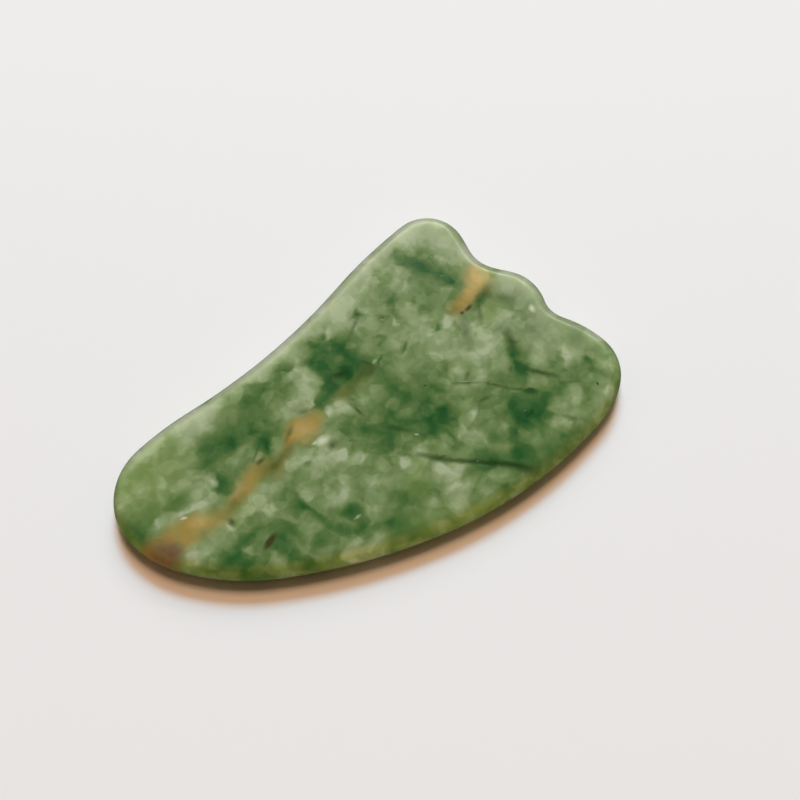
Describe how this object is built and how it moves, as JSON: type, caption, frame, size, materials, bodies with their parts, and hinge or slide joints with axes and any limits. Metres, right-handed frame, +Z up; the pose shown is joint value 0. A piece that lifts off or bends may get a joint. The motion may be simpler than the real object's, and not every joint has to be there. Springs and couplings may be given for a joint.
{
  "type": "gua sha scraper",
  "caption": "Flat hand-held jade board for stroking the skin, with a rounded rim, a broad round tip, a bowed belly, a shallow hollow flank and finger notches between small lobes.",
  "frame": {"origin": "under the middle of the board's bounding box, on the face that it lies on", "axes": "+Z up through the board's thickness, +X along its length from the broad tip to the notched end, +Y from the bowed belly to the hollow flank"},
  "size_m": [0.09, 0.0571, 0.0056],
  "materials": {
    "jade": "hand-polished variegated green jade with a satin gloss, cloudy pale and emerald patches and an ochre vein"
  },
  "bodies": {
    "root": {"scraper_board": "jade"}
  },
  "joints": []
}
